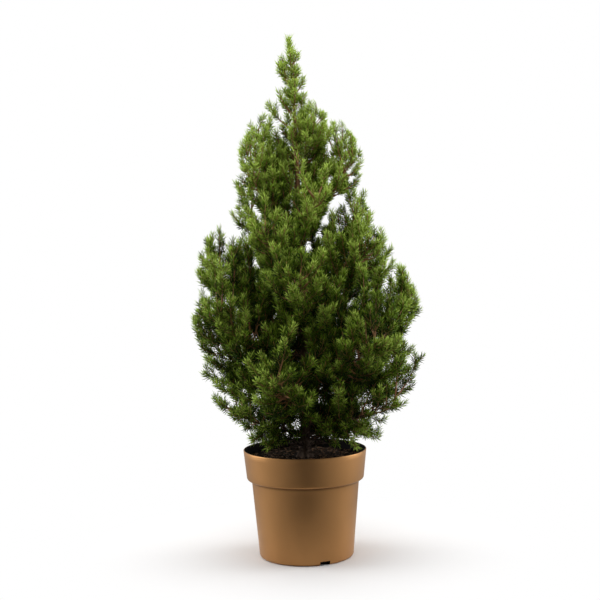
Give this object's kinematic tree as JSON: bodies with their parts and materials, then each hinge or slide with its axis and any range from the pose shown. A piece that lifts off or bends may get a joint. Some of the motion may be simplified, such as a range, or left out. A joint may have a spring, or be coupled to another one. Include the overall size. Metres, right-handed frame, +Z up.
{
  "type": "potted alberta spruce",
  "caption": "Dwarf conical spruce with dense short needles and an upright leader, standing in a tapered plastic nursery pot of compost.",
  "frame": {"origin": "centre of the flat underside of the pot", "axes": "+Z up along the pot's axis, -Y towards the side that the picture shows, +X to the right in the picture"},
  "size_m": [0.3421, 0.3427, 0.8002],
  "materials": {
    "pot": "satin",
    "soil": "matte",
    "bark": "matte",
    "needles": "matte"
  },
  "bodies": {
    "root": {"pot": "pot", "soil": "soil", "trunk": "bark", "bough_1": "bark", "foliage_1": "needles", "bough_2": "bark", "foliage_2": "needles", "bough_3": "bark", "foliage_3": "needles", "bough_4": "bark", "foliage_4": "needles", "bough_5": "bark", "foliage_5": "needles", "bough_6": "bark", "foliage_6": "needles", "bough_7": "bark", "foliage_7": "needles", "bough_8": "bark", "foliage_8": "needles", "bough_9": "bark", "foliage_9": "needles", "bough_10": "bark", "foliage_10": "needles", "bough_11": "bark", "foliage_11": "needles", "bough_12": "bark", "foliage_12": "needles", "bough_13": "bark", "foliage_13": "needles", "bough_14": "bark", "foliage_14": "needles", "bough_15": "bark", "foliage_15": "needles", "bough_16": "bark", "foliage_16": "needles", "bough_17": "bark", "foliage_17": "needles", "bough_18": "bark", "foliage_18": "needles", "bough_19": "bark", "foliage_19": "needles", "bough_20": "bark", "foliage_20": "needles", "bough_21": "bark", "foliage_21": "needles", "bough_22": "bark", "foliage_22": "needles", "bough_23": "bark", "foliage_23": "needles", "bough_24": "bark", "foliage_24": "needles", "bough_25": "bark", "foliage_25": "needles", "bough_26": "bark", "foliage_26": "needles", "bough_27": "bark", "foliage_27": "needles", "bough_28": "bark", "foliage_28": "needles", "foliage_leader": "needles"}
  },
  "joints": []
}
